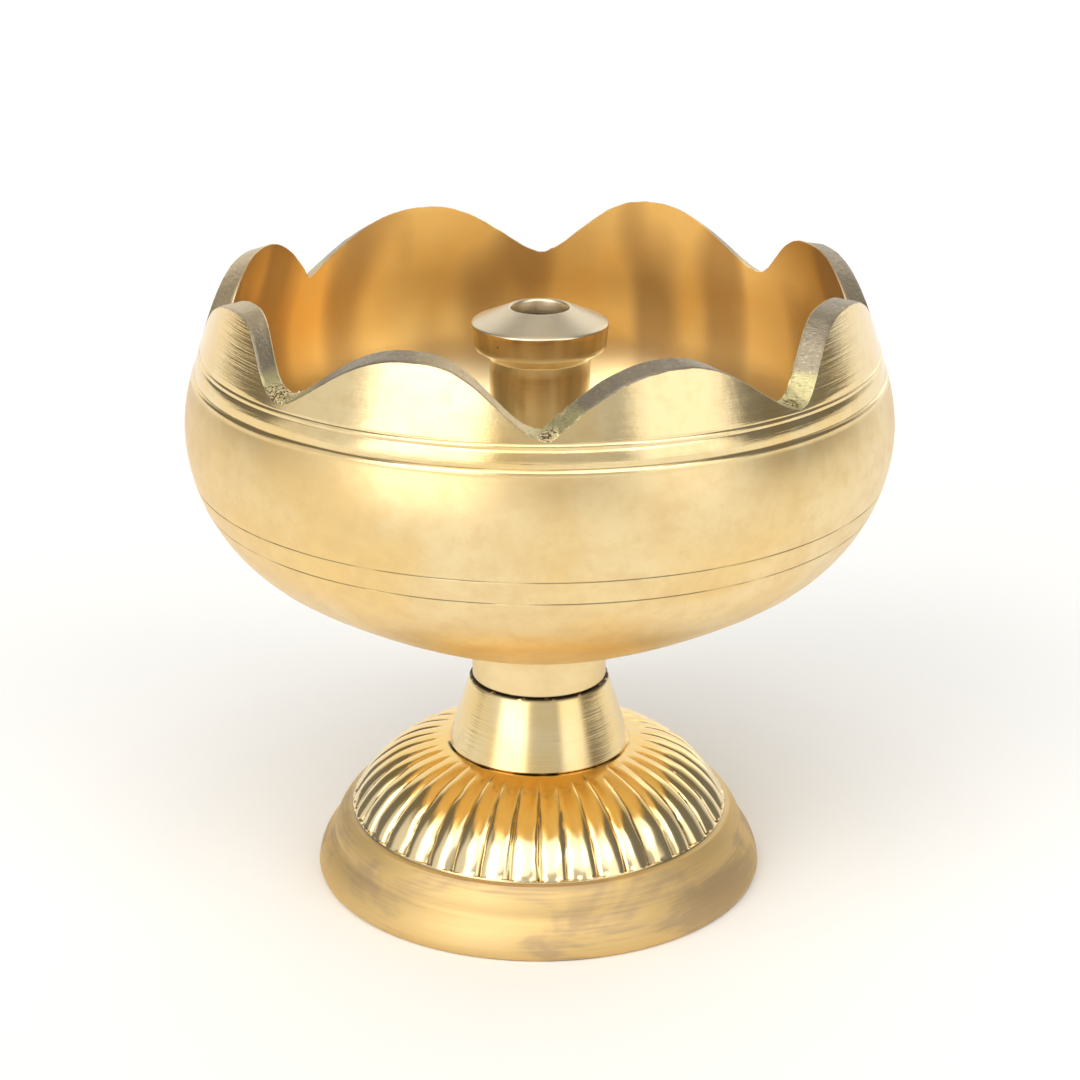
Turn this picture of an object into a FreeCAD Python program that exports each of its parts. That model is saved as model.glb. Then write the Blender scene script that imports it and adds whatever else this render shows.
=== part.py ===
"""Footed brass oil lamp with a lotus rim and a loose wick holder.

A turned bowl with eight filed petals stands on a tapered collar and a hollow,
reeded foot.  A stud in the bowl's boss runs down through collar and foot, and a
nut with a plain and a spring washer draws the stack together from below.  The
wick holder, a drilled spool, stands loose in a shallow socket in the bowl floor.

Millimetres, +Z up, origin on the table under the lamp's axis.  A valley of the
rim faces -Y.
"""
import FreeCAD, Part
import math
import os
import Sketcher
from FreeCAD import Placement, Rotation, Vector

# Driving dimensions, in millimetres and degrees.
DIMENSIONS = {
    # the bowl: boss, outer wall and inner wall, from the bottom up
    "boss_radius": 7.35, "boss_bottom": 22.5, "boss_top": 27.05,
    "under_radius": 7.6,
    "knuckle_radius": 28.7, "knuckle_height": 36.7,
    "belly_radius": 37.5, "belly_height": 52.4,
    "crown_radius": 36.3, "crown_height": 58.4,
    "stock_radius": 32.88, "stock_height": 69.0,
    "under_bend": 95.0, "knuckle_bend": 18.2, "belly_bend": 19.5,
    "floor_radius": 9.5, "floor_height": 31.0,
    "hollow_radius": 27.26, "hollow_height": 39.1,
    "inside_radius": 34.9, "inside_height": 52.4,
    "throat_radius": 34.1, "throat_height": 58.0,
    "lip_radius": 30.75,
    "floor_bend": 85.0, "hollow_bend": 15.8, "throat_bend": 20.0,
    # the petals, cut by one notch repeated round the rim
    "petal_count": 8, "valley_radius": 34.7, "valley_height": 61.4,
    "petal_rise": 6.3, "petal_bend": 12.0, "petal_reach": 12.75,
    "notch_margin": 0.6, "notch_head": 6.0, "notch_slope": 20.0,
    "notch_length": 45.0,
    # the turned lines round the bowl
    "line_size": 0.3, "fine_line_size": 0.15,
    "line_upper": 60.3, "line_upper_radius": 35.75,
    "line_lower": 57.9, "line_lower_radius": 36.5,
    "fine_upper": 47.2, "fine_upper_radius": 36.85,
    "fine_lower": 44.65, "fine_lower_radius": 35.95,
    # the socket and the tapped hole at the bowl's middle
    "socket_radius": 4.0, "socket_depth": 1.0,
    "tapping_radius": 3.05, "tapping_depth": 5.7,
    # the wick holder
    "spigot_radius": 3.95, "spigot_length": 0.9,
    "stem_radius": 5.35, "stem_top": 58.9,
    "head_radius": 7.25, "head_under_radius": 6.95, "head_bottom": 59.9,
    "head_edge": 62.6, "edge_break": 0.15, "head_top": 64.2,
    "wick_bore_radius": 3.05, "wick_bore_length": 26.0,
    "feed_radius": 2.1, "feed_floor": 33.0,
    "port_radius": 1.6, "port_height": 35.0, "port_count": 4,
    # the collar
    "collar_bottom": 14.65, "collar_radius": 10.0, "collar_top_radius": 7.65,
    "seam_break": 0.2, "passage_radius": 3.3,
    # the foot
    "sole_radius": 24.3, "sole_inner_radius": 22.0,
    "bulge_radius": 24.75, "bulge_height": 0.6,
    "band_radius": 22.95, "band_height": 4.2,
    "shoulder_radius": 21.4, "shoulder_height": 7.2,
    "dome_radius": 20.8, "dome_height": 7.6,
    "sole_bend": 0.6, "bulge_bend": 6.0, "band_bend": 6.0, "dome_bend": 15.8,
    "rim_radius": 21.5, "rim_height": 2.5,
    "shell_radius": 20.1, "shell_height": 5.0,
    "vault_radius": 13.05, "vault_height": 11.8, "vault_bend": 13.9,
    "hub_radius": 9.0, "hub_bottom": 11.0,
    "reed_count": 40, "reed_cut": 0.7, "reed_proud": 0.35, "reed_sweep": 34.0,
    # stud, washers and nut
    "stud_radius": 3.0, "stud_bottom": 1.8, "stud_top": 28.0, "stud_break": 0.5,
    "washer_radius": 6.0, "washer_hole_radius": 3.2, "washer_thickness": 1.6,
    "spring_radius": 5.6, "spring_hole_radius": 3.1, "spring_thickness": 1.6,
    "spring_slit": 0.8,
    "nut_flats": 10.0, "nut_height": 5.0, "nut_hole_radius": 3.05,
    "nut_dome": 5.15, "nut_break": 0.6,
}

doc = FreeCAD.newDocument("lotus_oil_lamp")
sheet = doc.addObject("Spreadsheet::Sheet", "Size")
for row, (alias, value) in enumerate(DIMENSIONS.items(), start=1):
    sheet.set(f"A{row}", alias)
    sheet.set(f"B{row}", str(value))
    sheet.setAlias(f"B{row}", alias)
doc.recompute()


# --- helpers: sizes, planes and sketches ------------------------------------

def measure(text):
    """Number for cell names joined by + and -, such as "head_top - head_edge"."""
    total, sign = 0.0, 1
    for word in text.split():
        if word in ("+", "-"):
            sign = 1 if word == "+" else -1
        else:
            total += sign * float(sheet.get(word))
    return total


def formula(text):
    """The same words as an expression on the sheet's cells."""
    return " ".join(word if word in ("+", "-") else "Size." + word for word in text.split())


def new_body(name):
    body = doc.addObject("PartDesign::Body", name)
    body.Label = name
    body.Placement = Placement()
    return body


def origin_feature(body, role):
    return next(item for item in body.Origin.OriginFeatures if item.Role == role)


def new_sketch(body, name, plane="XZ_Plane"):
    sketch = body.newObject("Sketcher::SketchObject", name)
    sketch.AttachmentSupport = [(origin_feature(body, plane), "")]
    sketch.MapMode = "FlatFace"
    return sketch


def constrain(sketch, kind, *where, to):
    """Add a dimension to a sketch and bind it to the sheet."""
    index = sketch.addConstraint(Sketcher.Constraint(kind, *where, measure(to)))
    sketch.setExpression(f"Constraints[{index}]", formula(to))


def arc_between(start, end, radius):
    """The short arc between two points; a negative radius bulges to the left.

    It always runs anticlockwise, as a sketch needs, so the negative one starts at
    the end.
    """
    chord = end - start
    half = chord.Length / 2
    aside = Vector(-chord.y, chord.x, 0).normalize()
    depth = math.sqrt(radius ** 2 - half ** 2)
    centre = (start + end) / 2 + aside * math.copysign(depth, radius)
    top = centre - aside * math.copysign(abs(radius), radius)
    return Part.Arc(start, top, end) if radius > 0 else Part.Arc(end, top, start)


def outline(sketch, corners, bends=None):
    """A closed outline of lines and arcs through named corners.

    Each corner is a pair of sizes.  bends gives, by the number of the corner
    where an arc starts, the arc's radius and the side that it bulges to.
    """
    bends = bends or {}
    points = [Vector(measure(across), measure(up), 0) for across, up in corners]
    count = len(points)
    for index, start in enumerate(points):
        end = points[(index + 1) % count]
        if index in bends:
            radius, side = bends[index]
            sketch.addGeometry(arc_between(start, end, side * measure(radius)), False)
        else:
            sketch.addGeometry(Part.LineSegment(start, end), False)
    ends = []
    for index, start in enumerate(points):
        forward = sketch.Geometry[index].StartPoint.distanceToPoint(start) < 1e-6
        ends.append((1, 2) if forward else (2, 1))
    for index in range(count):
        following = (index + 1) % count
        sketch.addConstraint(Sketcher.Constraint(
            "Coincident", index, ends[index][1], following, ends[following][0]))
    for index, (across, up) in enumerate(corners):
        for kind, text, axis in (("DistanceX", across, -2), ("DistanceY", up, -1)):
            if text == "":
                sketch.addConstraint(Sketcher.Constraint("PointOnObject", index, ends[index][0], axis))
            else:
                constrain(sketch, kind, -1, 1, index, ends[index][0], to=text)
    for index, (radius, _) in bends.items():
        constrain(sketch, "Radius", index, to=radius)


def turned(body, name, corners, bends=None):
    """Revolve an outline, drawn as radius and height, round the lamp's axis."""
    sketch = new_sketch(body, name + "_outline")
    outline(sketch, corners, bends)
    doc.recompute()
    feature = body.newObject("PartDesign::Revolution", name)
    feature.Profile = sketch
    feature.ReferenceAxis = (sketch, ["V_Axis"])
    feature.Angle = 360
    doc.recompute()
    return feature


def disc_sketch(body, name, height, *radii):
    """Circles round the lamp's axis, on a level plane at a named height."""
    sketch = new_sketch(body, name, "XY_Plane")
    if height:
        sketch.setExpression("AttachmentOffset.Base.z", formula(height))
    for index, radius in enumerate(radii):
        sketch.addGeometry(Part.Circle(Vector(0, 0, 0), Vector(0, 0, 1), measure(radius)), False)
        sketch.addConstraint(Sketcher.Constraint("Coincident", index, 3, -1, 1))
        constrain(sketch, "Radius", index, to=radius)
    doc.recompute()
    return sketch


def pad(body, name, sketch, length):
    feature = body.newObject("PartDesign::Pad", name)
    feature.Profile = sketch
    feature.setExpression("Length", formula(length))
    doc.recompute()
    return feature


def ring_pattern(body, name, features, count):
    """Repeat features round the lamp's axis."""
    pattern = body.newObject("PartDesign::PolarPattern", name)
    pattern.Originals = features
    pattern.Axis = (origin_feature(body, "Z_Axis"), [""])
    pattern.Angle = 360
    pattern.setExpression("Occurrences", formula(count))
    body.Tip = pattern
    doc.recompute()
    return pattern


def must_cut(body, volume_before, what):
    """Stop if a cut removed nothing."""
    removed = volume_before - body.Shape.Volume
    print(f"{what}: removed {removed:.1f} mm3")
    if removed <= 0:
        raise RuntimeError(what + " cut nothing")


# --- the bowl -----------------------------------------------------------------

def make_bowl():
    body = new_body("bowl")
    turned(body, "bowl_shell", [
        ("", "boss_bottom"), ("boss_radius", "boss_bottom"),
        ("boss_radius", "boss_top"), ("under_radius", "boss_top"),
        ("knuckle_radius", "knuckle_height"), ("belly_radius", "belly_height"),
        ("crown_radius", "crown_height"), ("stock_radius", "stock_height"),
        ("lip_radius", "stock_height"), ("throat_radius", "throat_height"),
        ("inside_radius", "inside_height"), ("hollow_radius", "hollow_height"),
        ("floor_radius", "floor_height"), ("", "floor_height"),
    ], {
        3: ("under_bend", 1), 4: ("knuckle_bend", 1), 5: ("belly_bend", 1),
        9: ("throat_bend", -1), 10: ("hollow_bend", -1), 11: ("floor_bend", -1),
    })
    cut_petals(body)
    cut_turned_lines(body)
    drill(body, "holder_socket", "floor_height", "socket_radius", "socket_depth", downward=True)
    drill(body, "stud_tapping", "boss_bottom", "tapping_radius", "tapping_depth", downward=False)
    return body


def cut_petals(body):
    """One notch between two petals, cut outward and down, then repeated."""
    before = body.Shape.Volume
    sketch = new_sketch(body, "notch_outline")
    slope = math.radians(measure("notch_slope"))
    lift = measure("valley_height") + measure("valley_radius") * math.tan(slope)
    sketch.AttachmentOffset = Placement(
        Vector(0, lift, 0), Rotation(Vector(1, 0, 0), measure("notch_slope")))
    sketch.setExpression(
        "AttachmentOffset.Base.y",
        "Size.valley_height + Size.valley_radius * tan(Size.notch_slope * 1deg)")
    sketch.setExpression("AttachmentOffset.Rotation.Angle", "Size.notch_slope * 1deg")

    reach, rise = measure("petal_reach"), measure("petal_rise")
    bend, margin = measure("petal_bend"), measure("notch_margin")
    top = rise + measure("notch_head")
    middle = Vector(0, 0, 0)
    crest = rise - bend
    # the flank leaves the valley as the tangent from it to the petal's arc
    distance = math.hypot(reach, crest)
    turn = math.atan2(crest, reach) + math.asin(bend / distance)
    run = math.sqrt(distance ** 2 - bend ** 2)
    flank = Vector(run * math.cos(turn), run * math.sin(turn), 0)
    for side in (1, -1):
        def at(across, up):
            return Vector(side * across, up, 0)
        shoulder = at(flank.x, flank.y)
        crown = at(reach - bend * math.sin(turn / 2), crest + bend * math.cos(turn / 2))
        sketch.addGeometry(Part.LineSegment(middle, shoulder), False)
        sketch.addGeometry(Part.Arc(shoulder, crown, at(reach, rise)), False)
        sketch.addGeometry(Part.LineSegment(at(reach, rise), at(reach + margin, rise)), False)
        sketch.addGeometry(Part.LineSegment(at(reach + margin, rise), at(reach + margin, top)), False)
    sketch.addGeometry(Part.LineSegment(Vector(-reach - margin, top, 0),
                                        Vector(reach + margin, top, 0)), False)
    doc.recompute()
    notch = body.newObject("PartDesign::Pocket", "notch")
    notch.Profile = sketch
    notch.setExpression("Length", formula("notch_length"))
    notch.Reversed = True
    doc.recompute()
    ring_pattern(body, "petals", [notch], "petal_count")
    must_cut(body, before, "petals")


def cut_turned_lines(body):
    """Two deeper and two finer lines turned into the outside of the bowl."""
    before = body.Shape.Volume
    sketch = new_sketch(body, "line_section")
    lines = (("line_upper", "line_size"), ("line_lower", "line_size"),
             ("fine_upper", "fine_line_size"), ("fine_lower", "fine_line_size"))
    for index, (line, radius) in enumerate(lines):
        across, up = line + "_radius", line
        centre = Vector(measure(across), measure(up), 0)
        sketch.addGeometry(Part.Circle(centre, Vector(0, 0, 1), measure(radius)), False)
        constrain(sketch, "DistanceX", -1, 1, index, 3, to=across)
        constrain(sketch, "DistanceY", -1, 1, index, 3, to=up)
        constrain(sketch, "Radius", index, to=radius)
    doc.recompute()
    lines_cut = body.newObject("PartDesign::Groove", "turned_lines")
    lines_cut.Profile = sketch
    lines_cut.ReferenceAxis = (sketch, ["V_Axis"])
    lines_cut.Angle = 360
    doc.recompute()
    must_cut(body, before, "turned lines")


def drill(body, name, height, radius, depth, downward):
    """A flat-bottomed round hole on the lamp's axis."""
    before = body.Shape.Volume
    hole = body.newObject("PartDesign::Pocket", name)
    hole.Profile = disc_sketch(body, name + "_circle", height, radius)
    hole.setExpression("Length", formula(depth))
    hole.Reversed = not downward
    doc.recompute()
    must_cut(body, before, name)


# --- the wick holder ------------------------------------------------------------

def make_wick_holder():
    body = new_body("wick_holder")
    turned(body, "spool", [
        ("", "floor_height - spigot_length"), ("spigot_radius", "floor_height - spigot_length"),
        ("spigot_radius", "floor_height"), ("stem_radius", "floor_height"),
        ("stem_radius", "stem_top"), ("head_under_radius", "head_bottom"),
        ("head_radius", "head_edge - edge_break"), ("head_radius - edge_break", "head_edge"),
        ("wick_bore_radius", "head_top"), ("wick_bore_radius", "head_top - wick_bore_length"),
        ("feed_radius", "head_top - wick_bore_length"), ("feed_radius", "feed_floor"),
        ("", "feed_floor"),
    ])
    before = body.Shape.Volume
    sketch = new_sketch(body, "port_circle")
    sketch.addGeometry(Part.Circle(Vector(0, measure("port_height"), 0), Vector(0, 0, 1),
                                   measure("port_radius")), False)
    sketch.addConstraint(Sketcher.Constraint("PointOnObject", 0, 3, -2))
    constrain(sketch, "DistanceY", -1, 1, 0, 3, to="port_height")
    constrain(sketch, "Radius", 0, to="port_radius")
    doc.recompute()
    port = body.newObject("PartDesign::Pocket", "oil_port")
    port.Profile = sketch
    port.Type = "ThroughAll"
    doc.recompute()
    must_cut(body, before, "one oil port")
    ring_pattern(body, "oil_ports", [port], "port_count")
    must_cut(body, before, "oil ports")
    return body


# --- collar and foot --------------------------------------------------------------

def make_collar():
    body = new_body("collar")
    turned(body, "collar_cone", [
        ("passage_radius", "collar_bottom"), ("collar_radius - seam_break", "collar_bottom"),
        ("collar_radius", "collar_bottom + seam_break"),
        ("collar_top_radius", "boss_bottom - seam_break"),
        ("collar_top_radius - seam_break", "boss_bottom"), ("passage_radius", "boss_bottom"),
    ])
    return body


def make_foot():
    body = new_body("foot")
    turned(body, "foot_shell", [
        ("sole_inner_radius", ""), ("sole_radius", ""), ("bulge_radius", "bulge_height"),
        ("band_radius", "band_height"), ("shoulder_radius", "shoulder_height"),
        ("dome_radius", "dome_height"), ("collar_radius", "collar_bottom"),
        ("passage_radius", "collar_bottom"), ("passage_radius", "hub_bottom"),
        ("hub_radius", "hub_bottom"), ("hub_radius", "vault_height"),
        ("vault_radius", "vault_height"), ("shell_radius", "shell_height"),
        ("rim_radius", "rim_height"),
    ], {
        1: ("sole_bend", 1), 2: ("bulge_bend", 1), 3: ("band_bend", 1),
        5: ("dome_bend", 1), 11: ("vault_bend", -1),
    })
    cut_reeds(body)
    return body


def cut_reeds(body):
    """Grooves down the dome, each an arc that ends square at the shoulder."""
    before = body.Shape.Volume
    start = Vector(measure("dome_radius"), measure("dome_height"), 0)
    end = Vector(measure("collar_radius"), measure("collar_bottom"), 0)
    dome = arc_between(start, end, measure("dome_bend"))
    centre = dome.toShape().Curve.Center
    lean = math.atan2(start.y - centre.y, start.x - centre.x)
    sketch = new_sketch(body, "reed_section")
    # local X runs from the dome's centre of curvature out through its shoulder,
    # and local Y, the axis that the groove turns about, lies across the foot
    out = Vector(math.cos(lean), 0, math.sin(lean))
    across = Vector(0, 1, 0)
    local = FreeCAD.Matrix(out.x, across.x, 0, centre.x, out.y, across.y, 0, 0,
                           out.z, across.z, 0, centre.y, 0, 0, 0, 1)
    normal = out.cross(across)
    local.A13, local.A23, local.A33 = normal.x, normal.y, normal.z
    plane = origin_feature(body, "XY_Plane")
    sketch.AttachmentSupport = [(plane, "")]
    sketch.MapMode = "FlatFace"
    sketch.AttachmentOffset = Placement(local)
    reach = measure("dome_bend") + measure("reed_proud")
    sketch.addGeometry(Part.Circle(Vector(reach, 0, 0), Vector(0, 0, 1), measure("reed_cut")), False)
    sketch.addConstraint(Sketcher.Constraint("PointOnObject", 0, 3, -1))
    constrain(sketch, "DistanceX", -1, 1, 0, 3, to="dome_bend + reed_proud")
    constrain(sketch, "Radius", 0, to="reed_cut")
    doc.recompute()
    reed = body.newObject("PartDesign::Groove", "reed")
    reed.Profile = sketch
    reed.ReferenceAxis = (sketch, ["V_Axis"])
    reed.setExpression("Angle", formula("reed_sweep"))
    reed.Reversed = True
    doc.recompute()
    must_cut(body, before, "one reed")
    ring_pattern(body, "reeds", [reed], "reed_count")
    must_cut(body, before, "reeds")


# --- the fastening inside the foot ----------------------------------------------

def make_tie_stud():
    body = new_body("tie_stud")
    turned(body, "stud_rod", [
        ("", "stud_bottom"), ("stud_radius - stud_break", "stud_bottom"),
        ("stud_radius", "stud_bottom + stud_break"), ("stud_radius", "stud_top - stud_break"),
        ("stud_radius - stud_break", "stud_top"), ("", "stud_top"),
    ])
    return body


def make_flat_washer():
    body = new_body("flat_washer")
    base = disc_sketch(body, "washer_ring", "hub_bottom - washer_thickness",
                       "washer_radius", "washer_hole_radius")
    pad(body, "washer_plate", base, "washer_thickness")
    return body


def make_spring_washer():
    """A split lock washer, closed flat as it is when the nut is tight."""
    body = new_body("spring_washer")
    base = disc_sketch(body, "spring_ring", "hub_bottom - washer_thickness - spring_thickness",
                       "spring_radius", "spring_hole_radius")
    pad(body, "spring_plate", base, "spring_thickness")
    before = body.Shape.Volume
    slit = new_sketch(body, "slit_outline", "XY_Plane")
    half, reach = measure("spring_slit") / 2, measure("spring_radius") + measure("spring_slit")
    corners = [Vector(0, -half, 0), Vector(reach, -half, 0), Vector(reach, half, 0), Vector(0, half, 0)]
    for index, corner in enumerate(corners):
        slit.addGeometry(Part.LineSegment(corner, corners[(index + 1) % 4]), False)
    doc.recompute()
    cut = body.newObject("PartDesign::Pocket", "slit")
    cut.Profile = slit
    cut.Type = "ThroughAll"
    cut.Midplane = True
    doc.recompute()
    must_cut(body, before, "spring washer slit")
    return body


def make_hex_nut():
    body = new_body("hex_nut")
    sketch = new_sketch(body, "hexagon", "XY_Plane")
    foot_of_stack = "hub_bottom - washer_thickness - spring_thickness - nut_height"
    sketch.setExpression("AttachmentOffset.Base.z", formula(foot_of_stack))
    corner = measure("nut_flats") / math.sqrt(3)
    points = [Vector(corner * math.cos(math.radians(60 * turn)),
                     corner * math.sin(math.radians(60 * turn)), 0) for turn in range(6)]
    for turn, point in enumerate(points):
        sketch.addGeometry(Part.LineSegment(point, points[(turn + 1) % 6]), False)
    sketch.addGeometry(Part.Circle(Vector(0, 0, 0), Vector(0, 0, 1), measure("nut_hole_radius")), False)
    sketch.addConstraint(Sketcher.Constraint("Coincident", 6, 3, -1, 1))
    constrain(sketch, "Radius", 6, to="nut_hole_radius")
    doc.recompute()
    pad(body, "nut_block", sketch, "nut_height")
    before = body.Shape.Volume
    head_of_stack = "hub_bottom - washer_thickness - spring_thickness"
    for name, face, inward in (("lower", foot_of_stack, " + "), ("upper", head_of_stack, " - ")):
        corners = new_sketch(body, name + "_corner_section")
        outline(corners, [("nut_dome", face), ("nut_dome + nut_break + nut_break", face),
                          ("nut_dome + nut_break + nut_break", face + inward + "nut_break")])
        doc.recompute()
        chamfer = body.newObject("PartDesign::Groove", name + "_corner_chamfer")
        chamfer.Profile = corners
        chamfer.ReferenceAxis = (corners, ["V_Axis"])
        chamfer.Angle = 360
        doc.recompute()
        must_cut(body, before, name + " nut corners")
        before = body.Shape.Volume
    return body


# --- build, check and write -----------------------------------------------------

PIECES = (make_bowl, make_wick_holder, make_collar, make_foot,
          make_tie_stud, make_flat_washer, make_spring_washer, make_hex_nut)


def main():
    pieces = [make() for make in PIECES]
    doc.recompute()
    for item in doc.Objects:
        faults = {"Invalid", "Error"} & set(item.State)
        if faults:
            raise RuntimeError(f"{item.Name}: {sorted(faults)}")
    os.makedirs("parts", exist_ok=True)
    for piece in pieces:
        shape = piece.Shape
        if shape.isNull() or not shape.isValid() or len(shape.Solids) != 1:
            raise RuntimeError(piece.Label + " is not one valid solid")
        box = shape.BoundBox
        print(f"{piece.Label:14s} {shape.Volume:9.1f} mm3  {box.XLength:6.2f} x {box.YLength:6.2f}"
              f" x {box.ZLength:6.2f}  z {box.ZMin:6.2f} to {box.ZMax:6.2f}")
        shape.exportStep(f"parts/{piece.Label}.step")


main()
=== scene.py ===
# %% [markdown]
# # A footed brass oil lamp
#
# The lamp is a stack of turned brass castings. A bowl with a scalloped rim stands on a tapered
# collar and a hollow, reeded foot, and a stud with a nut under the foot draws them together. A
# drilled spool, which holds the wick, stands loose in the middle of the bowl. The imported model
# gives every piece its place, so each new piece is drawn at its real height and radius.

# %% Load the frame
import math

import bmesh
import bpy
from mathutils import Matrix, Vector, noise


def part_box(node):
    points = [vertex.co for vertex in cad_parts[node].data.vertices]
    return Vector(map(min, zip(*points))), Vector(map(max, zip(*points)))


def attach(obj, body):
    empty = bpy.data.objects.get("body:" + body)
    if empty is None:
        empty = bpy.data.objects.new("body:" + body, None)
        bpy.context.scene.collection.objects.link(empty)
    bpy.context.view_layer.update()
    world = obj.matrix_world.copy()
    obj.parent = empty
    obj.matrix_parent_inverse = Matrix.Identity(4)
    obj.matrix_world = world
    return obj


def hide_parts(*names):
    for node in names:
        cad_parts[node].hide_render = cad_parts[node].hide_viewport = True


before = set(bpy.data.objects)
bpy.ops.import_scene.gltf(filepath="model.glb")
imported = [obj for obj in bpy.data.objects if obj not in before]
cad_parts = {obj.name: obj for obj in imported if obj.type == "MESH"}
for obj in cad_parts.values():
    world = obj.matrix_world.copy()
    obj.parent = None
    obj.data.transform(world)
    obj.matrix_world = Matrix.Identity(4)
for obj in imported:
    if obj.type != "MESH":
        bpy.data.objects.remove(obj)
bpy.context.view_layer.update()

MM = 0.001
for node in sorted(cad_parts):
    low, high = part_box(node)
    print(f"{node}: radius {high.x / MM:.2f} mm, height {low.z / MM:.2f} to {high.z / MM:.2f} mm")

# %% [markdown]
# ## Camera
#
# The lamp is seen from a little above, as it stands on a table, and from near by: the bowl's near
# rim looks clearly wider open than the foot. A long lens from about 30 cm gives that. The camera
# sits on the lamp's own front line, aims at its middle, and shifts its film a little upward.

# %% Camera
AIM = Vector((0, 0, 36.2)) * MM
DISTANCE = 280 * MM
LIFT = math.radians(20.52)
LEAN = math.radians(0.15)

camera = bpy.data.objects.new("camera", bpy.data.cameras.new("camera"))
bpy.context.collection.objects.link(camera)
back = Vector((0, -math.cos(LIFT), math.sin(LIFT)))
camera.location = AIM + back * DISTANCE
aimed = (-back).to_track_quat("-Z", "Y").to_matrix() @ Matrix.Rotation(LEAN, 3, "Z")
camera.rotation_euler = aimed.to_euler()
camera.data.sensor_width = 36
camera.data.lens = 85.92
camera.data.shift_x = 0.0006
camera.data.shift_y = 0.0148
camera.data.clip_start, camera.data.clip_end = 0.01, 50
camera.data.dof.use_dof = False
bpy.context.scene.camera = camera
print("camera at", [round(value / MM, 1) for value in camera.location], "mm")

# %% [markdown]
# ## Floor and light
#
# Polished brass has little colour of its own: it shows the room. A white table fills the lower
# half of the bowl with an even pale gold. Two tall soft boxes, one at the left and one at the
# right of the camera, give the broad cream highlights, and the dim gaps between them give the
# olive streaks. A flat ceiling light whitens the table. The boxes are painted on the world as soft
# patches by direction, which costs less to render than lamps and stays the same from every side.
# Weaker boxes fill the sides and the back, with a dim gap between each and the next.

# %% A wrapper for numbers on their way through a node tree
class Signal:
    """A number that changes from place to place. Arithmetic on it adds Math nodes."""

    def __init__(self, tree, socket):
        self.tree, self.socket = tree, socket

    def join(self, operation, *values):
        return self.tree.node("ShaderNodeMath", {"operation": operation}, dict(enumerate(values)))

    def __add__(self, other): return self.join("ADD", self, other)
    def __radd__(self, other): return self.join("ADD", other, self)
    def __sub__(self, other): return self.join("SUBTRACT", self, other)
    def __rsub__(self, other): return self.join("SUBTRACT", other, self)
    def __mul__(self, other): return self.join("MULTIPLY", self, other)
    def __rmul__(self, other): return self.join("MULTIPLY", other, self)
    def __pow__(self, other): return self.join("POWER", self, other)
    def __abs__(self): return self.join("ABSOLUTE", self)

    def at_most(self, other): return self.join("MINIMUM", self, other)
    def at_least(self, other): return self.join("MAXIMUM", self, other)

    def step(self, start, end, low=0.0, high=1.0):
        """Run smoothly from low to high while the number runs from start to end."""
        return self.tree.node(
            "ShaderNodeMapRange", {"interpolation_type": "SMOOTHSTEP"},
            {"Value": self, "From Min": start, "From Max": end, "To Min": low, "To Max": high})

    def near(self, middle, reach):
        """1 at the middle, falling softly to 0 at the reach on both sides."""
        return abs(self - middle).step(0.0, reach, 1.0, 0.0)


class Tree:
    """A node tree with one method that adds any node."""

    def __init__(self, tree):
        self.tree = tree

    def node(self, kind, settings=None, inputs=None, output=0):
        node = self.tree.nodes.new(kind)
        for name, value in (settings or {}).items():
            setattr(node, name, value)
        for name, value in (inputs or {}).items():
            if isinstance(value, Signal):
                self.tree.links.new(value.socket, node.inputs[name])
            else:
                node.inputs[name].default_value = value
        return Signal(self, node.outputs[output])

    def parts(self, vector):
        """The three numbers of a vector."""
        made = self.node("ShaderNodeSeparateXYZ", {}, {0: vector})
        return [made] + [Signal(self, made.socket.node.outputs[axis]) for axis in (1, 2)]

    def stretched(self, vector, along_x, along_y, along_z):
        return self.node("ShaderNodeVectorMath", {"operation": "MULTIPLY"},
                         {0: vector, 1: (along_x, along_y, along_z)})

    def cloud(self, vector, scale=1.0, detail=2.0, roughness=0.5, twist=0.0):
        return self.node("ShaderNodeTexNoise", {"noise_dimensions": "3D"}, {
            "Vector": vector, "Scale": scale, "Detail": detail, "Roughness": roughness,
            "Distortion": twist})

    def blend(self, share, first, second):
        """Mix two colours; share 0 gives the first."""
        return self.node("ShaderNodeMix", {"data_type": "RGBA"},
                         {0: share, 6: first, 7: second}, output=2)


# %% Soft boxes on the world
DIM = 0.20
SOFT_BOXES = (  # direction from the front towards the right, half width, foot, head, light
    (-38, 20, -4, 50, 2.30),
    (-76, 18, -6, 46, 0.62),
    (48, 18, -4, 50, 1.20),
    (2, 24, -8, 34, 0.42),
    (138, 16, -8, 44, 0.50),
    (180, 40, -8, 46, 0.90),
    (0, 62, 34, 74, 1.75),
    (0, 180, 64, 90, 1.00),
)
world = bpy.data.worlds.new("studio")
world.use_nodes = True
bpy.context.scene.world = world
studio = Tree(world.node_tree)
facing = studio.node("ShaderNodeTexCoord")
side, depth, rise = studio.parts(facing)
turn = studio.node("ShaderNodeMath", {"operation": "ARCTAN2"}, {0: side, 1: depth * -1.0})
turn = turn * math.degrees(1)
height = studio.node("ShaderNodeMath", {"operation": "ARCSINE"}, {0: rise}) * math.degrees(1)
light = DIM
for heading, half, foot, head, strength in SOFT_BOXES:
    apart = abs(turn - heading)
    apart = apart.at_most(360.0 - apart)
    across = apart.step(half - 5, half + 5, 1.0, 0.0)
    upright = height.step(foot - 4, foot + 4) * height.step(head - 8, head + 8, 1.0, 0.0)
    light = across * upright * strength + light
backdrop = world.node_tree.nodes["Background"]
world.node_tree.links.new(light.socket, backdrop.inputs["Strength"])
backdrop.inputs["Color"].default_value = (1.0, 0.99, 0.97, 1)
print(len(SOFT_BOXES), "soft boxes")

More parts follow.
